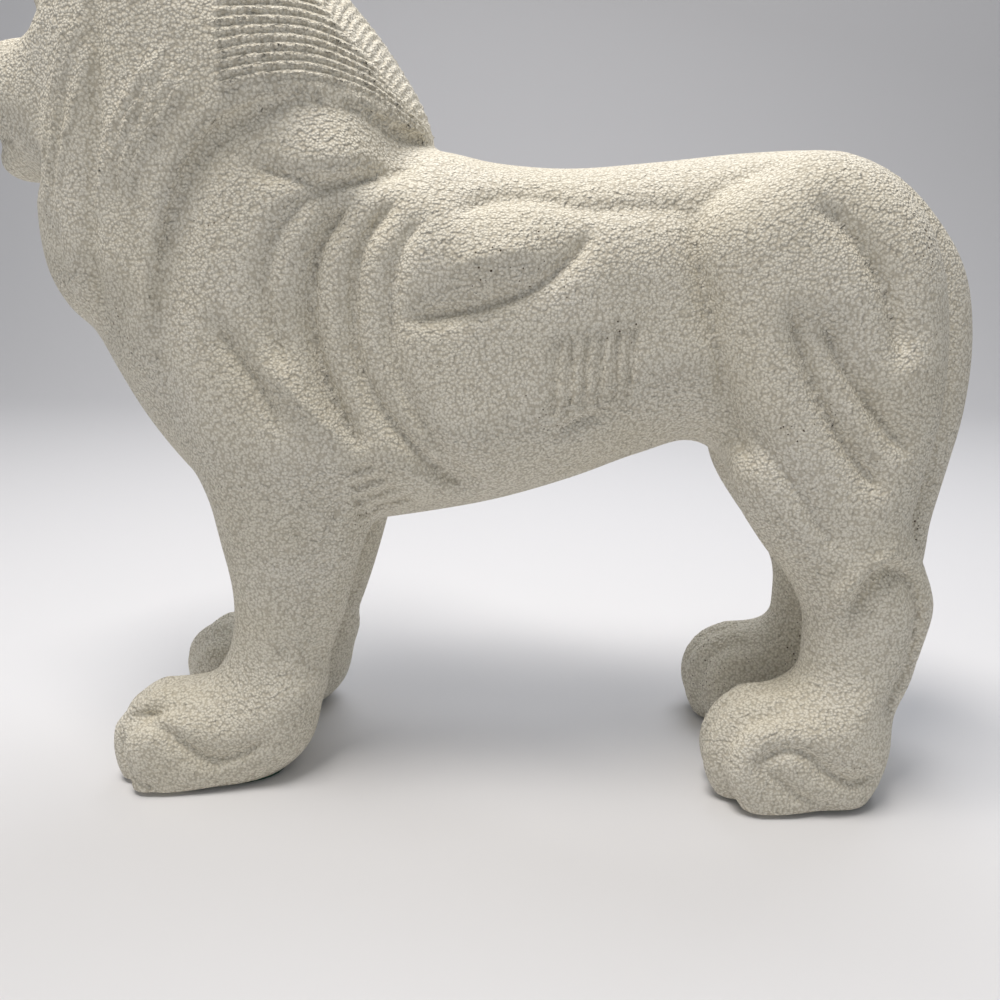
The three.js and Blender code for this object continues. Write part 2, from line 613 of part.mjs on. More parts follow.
function simplified({ points, faces }, target) {
  const forms = points.map(() => new Float64Array(10));
  const around = points.map(() => new Set());
  for (const face of faces) {
    const form = planeForm(face.map((v) => points[v]));
    for (const v of face) {
      around[v].add(face);
      for (let i = 0; i < 10; i++) forms[v][i] += form[i];
    }
  }
  const changes = new Int32Array(points.length);
  const queue = new Queue();
  const joined = (a, b) => forms[a].map((term, i) => term + forms[b][i]);
  const offer = (a, b) => {
    const form = joined(a, b);
    const length = Math.hypot(...minus(points[a], points[b]));
    const cost = formAt(form, meeting(form, points[a], points[b])) + EVENNESS * length ** 4;
    queue.push({ a, b, cost, seen: changes[a] + changes[b], tries: 0 });
  };
  for (const face of faces)
    face.forEach((a, i) => {
      const b = face[(i + 1) % 3];
      if (a < b) offer(a, b);
    });
  const left = new Set(faces);
  while (left.size > target && queue.entries.length > 0) {
    const { a, b, seen, cost, tries } = queue.pop();
    if (seen !== changes[a] + changes[b]) continue;
    const later = () => {
      if (tries < TRIES) queue.push({ a, b, seen, cost: cost * RETRY_RISE + RETRY_STEP, tries: tries + 1 });
    };
    const ringA = new Set([...around[a]].flat());
    const ringB = new Set([...around[b]].flat());
    if ([...ringA].filter((v) => ringB.has(v)).length !== 4) {
      later();
      continue;
    }
    const form = joined(a, b);
    const to = meeting(form, points[a], points[b]);
    const folds = [...around[a], ...around[b]].some((face) => {
      if (face.includes(a) && face.includes(b)) return false;
      const before = face.map((v) => points[v]);
      const after = face.map((v) => (v === a || v === b ? to : points[v]));
      const [n, m] = [before, after].map(([p, q, r]) => cross(minus(q, p), minus(r, p)));
      const size = Math.hypot(...m);
      const longest = Math.max(...after.map((p, i) => Math.hypot(...minus(p, after[(i + 1) % 3]))));
      return dot(n, m) < LEAST_TURN * Math.hypot(...n) * size || size < LEAST_SHAPE * longest * longest;
    });
    if (folds) {
      later();
      continue;
    }
    for (const face of around[b]) {
      if (face.includes(a)) {
        left.delete(face);
        for (const v of face) if (v !== b) around[v].delete(face);
      } else {
        face[face.indexOf(b)] = a;
        around[a].add(face);
      }
    }
    points[a] = to;
    forms[a] = form;
    changes[a]++;
    changes[b] = -1e6;
    for (const v of new Set([...around[a]].flat())) if (v !== a) offer(a, v);
  }
  return { points, faces: [...left] };
}

function meshGeometry({ points, faces }) {
  const used = new Map();
  const kept = [];
  for (const v of faces.flat())
    if (!used.has(v)) {
      used.set(v, kept.length);
      kept.push(points[v]);
    }
  const geometry = new THREE.BufferGeometry();
  geometry.setAttribute("position", new THREE.Float32BufferAttribute(kept.flat(), 3));
  geometry.setIndex(faces.flat().map((v) => used.get(v)));
  return geometry;
}

// Joining and cutting

const solids = await Manifold();
solids.setup();

function toSolid(geometry) {
  const bare = new THREE.BufferGeometry();
  bare.setAttribute("position", geometry.getAttribute("position"));
  bare.setIndex(geometry.getIndex());
  const merged = mergeVertices(bare, 1e-4);
  return new solids.Manifold(
    new solids.Mesh({
      numProp: 3,
      vertProperties: merged.getAttribute("position").array,
      triVerts: new Uint32Array(merged.getIndex().array),
    }),
  );
}

function fromSolid(solid) {
  const mesh = solid.getMesh();
  const geometry = new THREE.BufferGeometry();
  geometry.setAttribute("position", new THREE.BufferAttribute(mesh.vertProperties, mesh.numProp));
  geometry.setIndex(new THREE.BufferAttribute(mesh.triVerts, 1));
  return geometry;
}

// The casting: the skin in real millimetres, sawn level at the soles
function lionGeometry() {
  const whole = meshGeometry(simplified(evened(evened(skin())), SKIN_TRIANGLES));
  whole.scale(unit, unit, unit);
  const depth = 40;
  const sawn = new THREE.BoxGeometry(2 * STATUE_LENGTH, STATUE_LENGTH, depth);
  sawn.translate(0, 0, FELT_THICKNESS + GLUE_GAP - depth / 2);
  return fromSolid(toSolid(whole).subtract(toSolid(sawn)));
}

// Felt pads: each follows the sole of its paw, set in from its edge
const PAD_CORNERS = 28;
const PAD_SQUARENESS = 0.8;
const SOLES = {
  front: { paw: frontPaw, from: -137, to: -77, half: 18 },
  hind: { paw: hindPaw, from: 104, to: 159, half: 18 },
};

function padGeometry({ paw: own, from, to, half }, side) {
  const [halfLength, halfWidth] = [((to - from) / 2) * unit - FELT_INSET, half * unit - FELT_INSET];
  const shape = new THREE.Shape(
    Array.from({ length: PAD_CORNERS }, (_, i) => {
      const angle = (2 * Math.PI * i) / PAD_CORNERS;
      const squared = (value) => Math.sign(value) * Math.abs(value) ** PAD_SQUARENESS;
      return new THREE.Vector2(halfLength * squared(Math.cos(angle)), halfWidth * squared(Math.sin(angle)));
    }),
  );
  const pad = new THREE.ExtrudeGeometry(shape, { depth: FELT_THICKNESS, bevelEnabled: false });
  const [ankleX, ankleY] = own.ankle.map((value) => value * unit);
  pad.translate(((from + to) / 2) * unit - ankleX, 0, 0);
  pad.rotateZ(-side * own.turn);
  pad.translate(ankleX, side * ankleY, 0);
  return pad;
}

const CAST_STONE = { color: 0xd6cdb9, roughness: 0.92, metalness: 0 };
const FELT = { color: 0x1f4a38, roughness: 1, metalness: 0 };

function piece(name, geometry, look) {
  const mesh = new THREE.Mesh(geometry, new THREE.MeshStandardMaterial(look));
  mesh.name = name;
  return mesh;
}

const statue = new THREE.Group();
statue.add(piece("lion", lionGeometry(), CAST_STONE));
for (const [end, sole] of Object.entries(SOLES))
  for (const [hand, side] of [["left", -1], ["right", 1]])
    statue.add(piece(`felt_${end}_${hand}`, padGeometry(sole, side), FELT));

export default statue;
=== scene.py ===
import math

import bmesh
import bpy
import numpy as np
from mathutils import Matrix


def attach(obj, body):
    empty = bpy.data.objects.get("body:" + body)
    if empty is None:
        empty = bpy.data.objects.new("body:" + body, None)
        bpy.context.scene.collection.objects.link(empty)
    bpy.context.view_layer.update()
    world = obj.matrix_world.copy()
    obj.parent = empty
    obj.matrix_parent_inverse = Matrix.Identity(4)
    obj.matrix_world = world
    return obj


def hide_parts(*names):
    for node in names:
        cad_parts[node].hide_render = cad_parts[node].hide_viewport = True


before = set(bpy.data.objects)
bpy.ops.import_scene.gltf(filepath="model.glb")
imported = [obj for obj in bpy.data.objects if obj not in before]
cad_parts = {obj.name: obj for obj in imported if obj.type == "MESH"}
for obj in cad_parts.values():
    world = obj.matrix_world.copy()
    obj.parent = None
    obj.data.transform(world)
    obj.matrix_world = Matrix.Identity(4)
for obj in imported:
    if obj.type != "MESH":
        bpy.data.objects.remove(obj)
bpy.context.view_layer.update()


def linear(text):
    """A colour written as sRGB hex, as the linear values that Blender works in."""
    channels = [int(text[i : i + 2], 16) / 255 for i in (1, 3, 5)]
    return [c / 12.92 if c <= 0.04045 else ((c + 0.055) / 1.055) ** 2.4 for c in channels] + [1.0]


def add_node(material, kind, settings=None, **links):
    """Adds a shader node. Each keyword names an input, and holds a constant or the output that feeds it."""
    tree = material.node_tree
    node = tree.nodes.new(kind)
    for name, value in (settings or {}).items():
        setattr(node, name, value)
    for name, value in links.items():
        socket = node.inputs[int(name[1:])] if name[1:].isdigit() else node.inputs[name.replace("_", " ")]
        if isinstance(value, bpy.types.NodeSocket):
            tree.links.new(value, socket)
        else:
            socket.default_value = value
    return node


# The lion: one casting in crushed stone, matt and grainy all over from the sandblasted mould, with fine
# ribs on the mane. Its skin is the solid's own skin, remeshed finer and moved onto the smooth form that
# the solid approximates, with the ribs and short strokes cut into it.
# All sizes of the form are in millimetres. The form is drawn from the side and swelled sideways.


def smoothstep(low, high, value):
    t = np.clip((value - low) / (high - low), 0, 1)
    return t * t * (3 - 2 * t)


def blend(a, b, width):
    h = np.maximum(width - np.abs(a - b), 0) / width
    return np.minimum(a, b) - h * h * width / 4


def cut(a, b, width):
    return -blend(-a, -b, width)


def stations(table):
    """A smooth function through [place, value] stations."""
    places, values = np.array(table, float).T
    before = np.maximum(np.arange(len(places)) - 1, 0)
    after = np.minimum(np.arange(len(places)) + 1, len(places) - 1)
    slopes = (values[after] - values[before]) / (places[after] - places[before])

    def at(place):
        place = np.clip(place, places[0], places[-1])
        i = np.clip(np.searchsorted(places, place, side="right") - 1, 0, len(places) - 2)
        span = places[i + 1] - places[i]
        t = (place - places[i]) / span
        return (
            (2 * t**3 - 3 * t**2 + 1) * values[i]
            + (t**3 - 2 * t**2 + t) * span * slopes[i]
            + (3 * t**2 - 2 * t**3) * values[i + 1]
            + (t**3 - t**2) * span * slopes[i + 1]
        )

    return at


def sampled(points, closed=False, steps=6):
    """Points along a smooth curve through the given ones."""
    given = np.array(points, float)
    if closed:
        line = np.vstack([given[-1:], given, given[:2]])
    else:
        line = np.vstack([2 * given[:1] - given[1:2], given, 2 * given[-1:] - given[-2:-1]])
    parts = []
    for a, b, c, d in zip(line, line[1:], line[2:], line[3:]):
        t = np.arange(steps)[:, None] / steps
        parts.append(
            0.5 * (2 * b + (c - a) * t + (2 * a - 5 * b + 4 * c - d) * t**2 + (3 * b - a - 3 * c + d) * t**3)
        )
    parts.append(given[:1] if closed else given[-1:])
    return np.vstack(parts)


def nearest(path, x, z):
    """Distance to a sampled line, the side it lies on, how far along the nearest place is, and the length."""
    best = np.full(np.shape(x), np.inf)
    side = np.ones(np.shape(x))
    along = np.zeros(np.shape(x))
    run = 0.0
    for (ax, az), (bx, bz) in zip(path, path[1:]):
        dx, dz = bx - ax, bz - az
        length = math.hypot(dx, dz)
        t = np.clip(((x - ax) * dx + (z - az) * dz) / length**2, 0, 1)
        away = (x - ax - t * dx) ** 2 + (z - az - t * dz) ** 2
        nearer = away < best - 1e-9
        best = np.where(nearer, away, best)
        side = np.where(nearer, np.where(dx * (z - az) - dz * (x - ax) < 0, -1, 1), side)
        along = np.where(nearer, run + t * length, along)
        run += length
    return np.sqrt(best), side, along, run


DRAWN_LEFT, DRAWN_RIGHT, DRAWN_LOW, DRAWN_HIGH = -204, 204, -18, 356


class Drawing:
    """A function of the side view, worked out once on a lattice and read between its points."""

    def __init__(self, pitch):
        self.pitch = pitch
        columns = np.arange(DRAWN_LEFT, DRAWN_RIGHT + pitch / 2, pitch)
        rows = np.arange(DRAWN_LOW, DRAWN_HIGH + pitch / 2, pitch)
        self.x, self.z = np.meshgrid(columns, rows)
        self.table = np.zeros(self.x.shape)

    def __call__(self, x, z):
        rows, columns = self.table.shape
        column = np.clip((x - DRAWN_LEFT) / self.pitch, 0, columns - 1.001)
        row = np.clip((z - DRAWN_LOW) / self.pitch, 0, rows - 1.001)
        c, r = column.astype(int), row.astype(int)
        s, t = column - c, row - r
        lower = self.table[r, c] * (1 - s) + self.table[r, c + 1] * s
        upper = self.table[r + 1, c] * (1 - s) + self.table[r + 1, c + 1] * s
        return lower * (1 - t) + upper * t


def outline(points):
    """Signed distance to a closed outline, below zero inside."""
    drawn = Drawing(1.0)
    path = sampled(points, closed=True)
    inside = np.zeros(drawn.x.shape, bool)
    for (ax, az), (bx, bz) in zip(path, path[1:]):
        if az != bz:
            crosses = (az > drawn.z) != (bz > drawn.z)
            inside ^= crosses & (drawn.x < (bx - ax) * (drawn.z - az) / (bz - az) + ax)
    distance = nearest(path, drawn.x, drawn.z)[0]
    drawn.table = np.where(inside, -distance, distance)
    return drawn


def edge_of(points):
    """Distance to an open line, above zero on its left as one walks it."""
    drawn = Drawing(1.0)
    distance, side, _, _ = nearest(sampled(points), drawn.x, drawn.z)
    drawn.table = distance * side
    return drawn


def carved(lines, fade, blunt):
    """Depth of carved lines, each (depth, left, right, points): a groove with its own rise on each side."""
    drawn = Drawing(0.5)
    for depth, left, right, points in lines:
        path = sampled(points)
        reach = 3 * max(left, right)
        columns = (drawn.x[0] > path[:, 0].min() - reach) & (drawn.x[0] < path[:, 0].max() + reach)
        rows = (drawn.z[:, 0] > path[:, 1].min() - reach) & (drawn.z[:, 0] < path[:, 1].max() + reach)
        window = np.ix_(rows, columns)
        distance, side, along, length = nearest(path, drawn.x[window], drawn.z[window])
        rise = np.where(side > 0, left, right) / 2
        blunted = np.sqrt(distance**2 + blunt**2) - blunt
        ends = smoothstep(0, fade, along) * smoothstep(0, fade, length - along)
        drawn.table[window] += depth * np.exp(-blunted / rise) * ends
    return drawn


def ellipsoid(x, y, z, rx, ry, rz):
    reach = np.sqrt((x / rx) ** 2 + (y / ry) ** 2 + (z / rz) ** 2)
    steep = np.sqrt((x / rx**2) ** 2 + (y / ry**2) ** 2 + (z / rz**2) ** 2)
    return reach * (reach - 1) / np.maximum(steep, 1e-9)


def swelled(edge, across, rounding, half_width):
    return ellipsoid(np.maximum(0, edge + rounding), across, 0, rounding, half_width, 1)


# Trunk, legs and tail. Each round is how deep the edge of a side outline rounds off.
TRUNK_ROUND = 40
ARM_ROUND = 21
THIGH_ROUND = 22
trunk_edge = outline([
    [-146, 205], [-112, 236], [-62, 246], [-18, 245], [8, 240], [35, 238], [66, 240], [100, 243],
    [130, 243], [149, 235], [163, 215], [168, 190], [170, 160], [166, 132], [156, 112], [134, 106],
    [108, 120], [86, 136], [64, 131], [38, 121], [9, 112], [-20, 106], [-52, 101], [-82, 98],
    [-104, 111], [-124, 132], [-140, 156], [-150, 180],
])
trunk_width = stations([
    [-155, 36], [-125, 44], [-90, 48], [-50, 49], [0, 49], [40, 46], [75, 41], [105, 43], [135, 45],
    [172, 36],
])
arm_edge = outline([
    [-80, 262], [-97, 236], [-106, 205], [-111, 178], [-108, 152], [-103, 127], [-99, 100], [-96, 77],
    [-98, 58], [-104, 40], [-102, 22], [-75, 20], [-65, 36], [-58, 52], [-51.5, 70], [-45.5, 90],
    [-40, 110], [-40, 134], [-46, 158], [-50, 182], [-46, 205], [-37, 221], [-30, 236], [-37, 254],
    [-49, 268], [-63, 275],
])
arm_middle = stations([[20, 27], [60, 27], [90, 28], [115, 29], [145, 30], [225, 28], [275, 24]])
arm_width = stations([
    [20, 16], [60, 16.5], [90, 17.5], [115, 20], [145, 23], [200, 24.5], [228, 24.5], [246, 22],
    [260, 17], [280, 6],
])
thigh_edge = outline([
    [78, 212], [84, 190], [90, 165], [93, 142], [98, 121], [109, 103], [120, 89], [127, 75],
    [128, 58], [127, 40], [122, 22], [154, 16], [163, 32], [169, 46], [172.5, 62], [174.5, 80],
    [169.5, 95], [163.5, 108], [164, 126], [168, 150], [168, 178], [164, 202], [155, 221], [139, 235],
    [119, 240.5], [98, 235], [84, 225],
])
thigh_middle = stations([[16, 28], [60, 27.5], [90, 28], [120, 28], [150, 27], [240, 25]])
thigh_width = stations([[16, 16], [60, 17], [90, 18], [120, 20.5], [150, 22], [200, 23], [240, 20]])
TAIL_FLAT = 0.95
TAIL_BEADS = [
    [132, 234, 8], [149, 226, 10], [162, 212, 11], [172, 196, 11], [176, 174, 11.5], [176, 150, 11.5],
    [173, 127, 11], [170, 106, 10.5], [168, 86, 11], [165, 68, 8],
]


def tail(x, y, z):
    nearest_bead = np.full(x.shape, np.inf)
    beads = sampled(TAIL_BEADS, steps=4)
    for (ax, az, ar), (bx, bz, br) in zip(beads, beads[1:]):
        dx, dz = bx - ax, bz - az
        t = np.clip(((x - ax) * dx + (z - az) * dz) / (dx * dx + dz * dz), 0, 1)
        away = np.sqrt((x - ax - t * dx) ** 2 + (y * TAIL_FLAT) ** 2 + (z - az - t * dz) ** 2)
        nearest_bead = np.minimum(nearest_bead, away - (ar + t * (br - ar)))
    return nearest_bead


# Paws: a body and four toes side by side, in a frame turned outwards about the ankle
PAW_ROUND = 18
PAW_HALF_WIDTH = 21.5
TOE_ROUND = 7.5
TOE_HALF_WIDTH = 6.2
TOE_BLEND = 2.5
TOE_SPACING = 10.6
FRONT_PAW = {
    "ankle": (-82, 28),
    "turn": math.radians(10),
    "edge": outline([
        [-64, 42], [-66, 28], [-70, 12], [-82, 0], [-102, -8], [-128, -8], [-141, -2], [-145.5, 12],
        [-143.5, 25], [-135, 34], [-121, 40], [-98, 44], [-78, 54],
    ]),
    "tip": -145,
    "set_back": (6, 1, 0, 2),
}
HIND_PAW = {
    "ankle": (142, 29),
    "turn": math.radians(5),
    "edge": outline([
        [157, 36], [161, 22], [158, 6], [149, -6], [130, -9], [108, -8], [97, 3], [92, 15],
        [93, 27], [100, 37], [112, 43], [128, 50], [148, 54],
    ]),
    "tip": 92,
    "set_back": (5, 1, 0, 2),
}
TOE_INSET = (3.5, 0, 0, 4.5)


def paw(own, x, y, z):
    from_ankle, out = x - own["ankle"][0], y - own["ankle"][1]
    along = own["ankle"][0] + from_ankle * math.cos(own["turn"]) - out * math.sin(own["turn"])
    across = from_ankle * math.sin(own["turn"]) + out * math.cos(own["turn"])
    form = swelled(own["edge"](along - 3, z) + 1, across, PAW_ROUND, PAW_HALF_WIDTH)
    fade = 0.35 * np.maximum(0, along - own["tip"] - 18)
    for toe, back in enumerate(own["set_back"]):
        edge = own["edge"](along - back, z) - 1.2 + TOE_INSET[toe] + fade
        middle = (toe - 1.5) * TOE_SPACING
        form = blend(form, swelled(edge, across - middle, TOE_ROUND, TOE_HALF_WIDTH), TOE_BLEND)
    return form


# Mane: cut off along the shoulder as the hem of a cape, and along the face. The neck fills it.
mane_edge = outline([
    [-16, 238], [-17, 249], [-21, 260], [-28, 272], [-38, 286], [-53, 303], [-71, 319], [-91, 332],
    [-112, 340], [-132, 339], [-146, 330], [-155, 312], [-159, 290], [-162, 265], [-165.5, 245], [-167, 230],
    [-167.5, 213], [-165, 198], [-158, 185], [-146, 173], [-130, 150], [-112, 132], [-92, 140],
    [-76, 172], [-60, 206], [-38, 224],
])
mane_round = stations([[-168, 26], [-140, 38], [-110, 44], [-60, 46], [-10, 46]])
mane_width = stations([
    [-168, 36], [-150, 43], [-135, 48], [-115, 52], [-85, 53.5], [-55, 51], [-30, 46], [-8, 40],
])
HEM_STEP = 4.5
HEM_ROUND = 1.5
FACE_ROUND = 5
hem = edge_of([
    [0, 233], [-9, 242], [-21, 249], [-37, 256], [-53, 258], [-69, 255], [-83, 247], [-95, 232],
    [-105, 205], [-110, 178], [-107, 150], [-100, 128], [-90, 100],
])
face = edge_of([
    [-115, 356], [-125, 322], [-131, 300], [-138, 278], [-145, 256], [-151, 241], [-159, 231], [-174, 226],
    [-200, 222],
])

# Head: skull and muzzle, with brows, eyes, nose, lips, chin and ears
HEAD_ROUND = 15
head_edge = outline([
    [-186.5, 262], [-187, 271], [-183, 278], [-172, 281.5], [-163, 284.5], [-156, 290], [-150, 297],
    [-144, 308], [-134, 320], [-118, 324], [-108, 290], [-112, 250], [-132, 233], [-156, 232], [-172, 235],
    [-180, 240], [-183, 250],
])
head_width = stations([
    [-188, 13], [-180, 18], [-170, 20.5], [-163, 24.5], [-156, 31.5], [-147, 38], [-135, 42],
    [-115, 43],
])
EYE_SOCKET = (-162, 17, 284.5, 8.5, 9.5, 6.5)
# Each swelling: x, y, z, length, width, height, blend
HEAD_SWELLINGS = [
    (-145.5, 17, 294.5, 9, 13, 6, 6),
    (-170, 0, 281, 17, 8, 5, 6),
    (-178, 9, 261, 10, 10, 10, 5),
    (-183, 0, 273.5, 5, 8.5, 5, 3),
    (-176, 0, 242, 9, 11, 7, 4),
    (-158, 24, 262, 14, 9, 17, 8),
    (-152.5, 16.5, 285, 5.5, 6.5, 4.5, 1.5),
]


EAR_PLACE = (-126, 35, 328)
EAR_SIZE = (6, 9.5, 11.5)
EAR_RIM = 3
MOUTH = {"height": 251.5, "droop": 0.008, "half": 1.4, "depth": 2.4, "corner": -168}
PARTING = {"half": 0.8, "bottom": 252, "top": 270, "depth": 1.8}


def ear(x, y, z):
    from_x, from_y, from_z = x - EAR_PLACE[0], y - EAR_PLACE[1], z - EAR_PLACE[2]
    length, width, height = EAR_SIZE
    shell = ellipsoid(from_x, from_y, from_z, length, width, height)
    cup = ellipsoid(from_x + length, from_y, from_z, length, width - EAR_RIM, height - EAR_RIM)
    return cut(shell, -cup, 2)


def head(x, y, z):
    form = swelled(head_edge(x, z), y, HEAD_ROUND, head_width(x))
    sx, sy, sz, length, width, height = EYE_SOCKET
    form = cut(form, -ellipsoid(x - sx, y - sy, z - sz, length, width, height), 5)
    for cx, cy, cz, length, width, height, soft in HEAD_SWELLINGS:
        form = blend(form, ellipsoid(x - cx, y - cy, z - cz, length, width, height), soft)
    in_front = x - MOUTH["corner"]
    from_lips = np.abs(z - MOUTH["height"] + MOUTH["droop"] * y * y) - MOUTH["half"]
    lips = np.maximum.reduce([from_lips, -(form + MOUTH["depth"]), in_front])
    parting = np.maximum.reduce([
        y - PARTING["half"], PARTING["bottom"] - z, z - PARTING["top"], -(form + PARTING["depth"]), in_front,
    ])
    return blend(cut(cut(form, -lips, 1), -parting, 1), ear(x, y, z), 3)


# Carved lines: depth, rise on the left and on the right as one walks the line, and its points. Those on the
# flanks are cut a little deeper here than in the solid.
FLANK_DEEPENING = 1.2
SHOULDER_LINES = [
    (3.2, 7, 5, [[-76, 238], [-66, 234], [-54, 231], [-44, 230.5], [-34, 232], [-24, 235], [-12, 240]]),
    (3.4, 9, 5, [[-40, 232], [-53, 225], [-61, 217], [-65, 208], [-68, 196], [-66, 180], [-60, 165]]),
    (4.6, 7, 5, [
        [-36, 227], [-44, 219], [-49, 211], [-52, 202], [-54, 188], [-52, 172], [-47, 157], [-41, 145],
        [-35, 135],
    ]),
    (4.6, 7, 5, [
        [-20, 228], [-29, 219], [-35, 210], [-38, 199], [-39, 184], [-37, 168], [-31, 155], [-22, 143],
        [-11, 131], [2, 120],
    ]),
    (3.4, 5, 7, [
        [-10, 223], [-19, 213], [-24, 202], [-25.5, 190], [-25, 176], [-21, 161], [-14, 147], [-4, 133],
        [8, 121],
    ]),
    (3, 4, 5, [[-88, 190], [-81, 176], [-74, 166], [-68, 155], [-63, 143]]),
    (-2.4, 5, 5, [[-70, 176], [-63, 165], [-55, 155], [-46, 145], [-38, 137]]),
]
LUNG_LINES = [
    (4.2, 9, 4, [[-24, 185], [-6, 187], [11, 191], [24, 196], [34, 203], [41, 211], [46, 219]]),
    (3.2, 7, 7, [[-8, 218], [2, 223], [14, 225.5], [28, 225], [42, 222], [56, 222.5], [70, 222], [82, 219]]),
    (-2.8, 16, 16, [[-8, 200], [4, 206], [18, 209], [30, 210]]),
    (3, 3, 4, [[27, 142], [37, 149], [47, 152.5], [57, 154]]),
]
HAUNCH_LINES = [
    (4.2, 5, 9, [
        [112, 240], [98, 234], [87, 229], [80, 222], [78, 213], [80, 202], [84, 188], [88, 174],
        [92, 160], [97, 146], [104, 132],
    ]),
    (4.8, 11, 5, [[110, 223], [119, 220], [127, 213], [134, 204], [140, 194], [145, 180], [148, 168]]),
    (4.6, 9, 5, [[118, 192], [122, 182], [128, 171], [136, 160], [145, 149], [157, 138]]),
    (4.6, 8, 5, [[108, 194], [111, 184], [115, 173], [121, 160], [129, 147], [138, 135], [149, 124]]),
    (3, 6, 6, [[97, 156], [104, 144], [112, 134], [121, 122], [130, 110], [137, 103]]),
    (-2.6, 4, 4, [[157, 113], [151, 104], [144, 99], [137, 90], [131, 78]]),
    (-2.4, 3.5, 3.5, [[156, 112], [161, 104], [167, 96]]),
    (4, 4, 7, [
        [141, 76], [143, 88], [148, 97], [155, 97], [162, 90], [166, 80], [166.5, 68], [165, 56],
        [160, 44], [156, 30],
    ]),
    (3.5, 5, 5, [[158, 122], [160, 116], [163, 109]]),
]
MANE_LINES = [
    (4, 7, 8, [[-112, 338], [-117, 300], [-120, 268], [-123, 249], [-128, 224], [-131, 196], [-131, 170]]),
    (1.1, 3, 4, [[-121, 320], [-128, 285], [-135, 258], [-142, 230], [-147, 200], [-146, 176]]),
    (1.1, 3, 4, [[-106, 330], [-109, 295], [-112, 262], [-116, 236], [-120, 208], [-121, 178]]),
    (1.1, 3, 4, [[-99, 322], [-101, 290], [-104, 262], [-109, 236], [-113, 208], [-115, 182]]),
]
TOE_LINES = [
    (3.2, 6, 3, [
        [-141, 21], [-137, 27], [-129, 29.5], [-119, 28], [-111, 22], [-104, 16], [-95, 15], [-86, 19],
        [-78, 26],
    ]),
    (2.2, 3, 4, [[-140, 25], [-136, 14], [-129, 6], [-117, 4]]),
    (3.6, 6, 3, [
        [107, 17], [111, 24], [119, 28], [128, 26], [133, 21], [139, 17], [145, 14], [152, 16],
        [157, 22],
    ]),
    (2.4, 3, 3, [[108, 24], [116, 18], [122, 12.5], [129, 8], [142, 5]]),
]
flank_lines = carved(SHOULDER_LINES + LUNG_LINES + HAUNCH_LINES, 14, 0.6)
mane_lines = carved(MANE_LINES, 9, 0.9)
toe_lines = carved(TOE_LINES, 12, 0.9)


STROKE_RISE = 1.9


def strokes(count, depth, first, last):
    """A row of short strokes, from one stroke to another, each given as its two ends."""
    rows = []
    for t in np.linspace(0, 1, count):
        start, end = (np.array(first[k]) * (1 - t) + np.array(last[k]) * t for k in (0, 1))
        rows.append((depth, STROKE_RISE, STROKE_RISE, [start, (start + end) / 2, end]))
    return rows


stroke_lines = carved(
    strokes(6, 2.4, [[32, 180], [31, 151]], [[58, 184], [57, 157]])
    + strokes(4, 2.6, [[-42, 131], [-33, 134]], [[-43, 112], [-22, 119]]),
    2,
    0.4,
)

# Shallow flutes down the back of the front leg, and thin strands on the mane in two bundles. A strand's
# depth is below zero, since it stands out.
FLUTES = [
    (2.4, 4, 2, [[-57, 136], [-64, 108], [-69, 81], [-73, 56], [-80, 32]]),
    (2.4, 3, 2, [[-51, 138], [-58, 106], [-62, 80], [-66, 55], [-75, 29]]),
    (2, 3, 2, [[-45, 134], [-53, 104], [-58, 80], [-62, 55], [-70, 31]]),
]
STRANDS = [
    [[-134, 288], [-139, 275], [-145, 260], [-148, 249], [-150, 236]],
    [[-129, 285], [-136, 268], [-142, 257], [-146, 246], [-149, 234], [-152, 218]],
    [[-124, 286], [-132, 269], [-138, 256], [-142, 245], [-146, 234], [-149, 215]],
    [[-121, 276], [-126, 263], [-131, 255], [-137, 243], [-142, 230], [-145, 212]],
    [[-100, 272], [-103, 265], [-109, 258], [-115, 250], [-120, 241], [-124, 230], [-127, 216]],
    [[-95, 273], [-99, 265], [-104, 257], [-110, 250], [-116, 241], [-121, 228]],
    [[-90, 270], [-94, 262], [-100, 256], [-106, 248], [-112, 239], [-117, 226]],
    [[-87, 266], [-91, 259], [-97, 253], [-103, 246], [-108, 238], [-113, 226]],
]
STRAND_DEPTH = -1.9
STRAND_RISE = 2
flute_lines = carved(FLUTES, 18, 1)
strand_lines = carved([(STRAND_DEPTH, STRAND_RISE, STRAND_RISE, strand) for strand in STRANDS], 10, 0.3)

# Nape: fine ribs that run along the hem, each a thin crest, closer together towards the tip of the mane.
# Down the middle of the back they give way to a band of small scallops.
RIB_LEFT = -76
RIB_STEEPNESS = 0.6
rib_pitch = stations([[-92, 3.4], [-73, 3.1], [-50, 2.8], [-33, 2.2], [-20, 1.6], [-10, 1.4]])
rib_start = stations([
    [-96, 250], [-83, 258], [-67, 262.5], [-51, 264.5], [-35, 261.5], [-27, 257], [-19, 251.5], [-8, 243],
])
rib_end = stations([
    [243, -11], [253, -19], [262, -27], [272, -35], [281, -43], [290, -51], [306, -66], [322, -86],
])
SCALLOP_PITCH = 3.4
SCALLOP_BOW = 90
SCALLOP_HEIGHT = 0.8
BAND_HALF = 31


def crests(turns):
    """A row of crests as seen in section, 1 at each crest and rounded out to 0 between them."""
    return 1 - np.abs(np.sin(math.pi * turns))


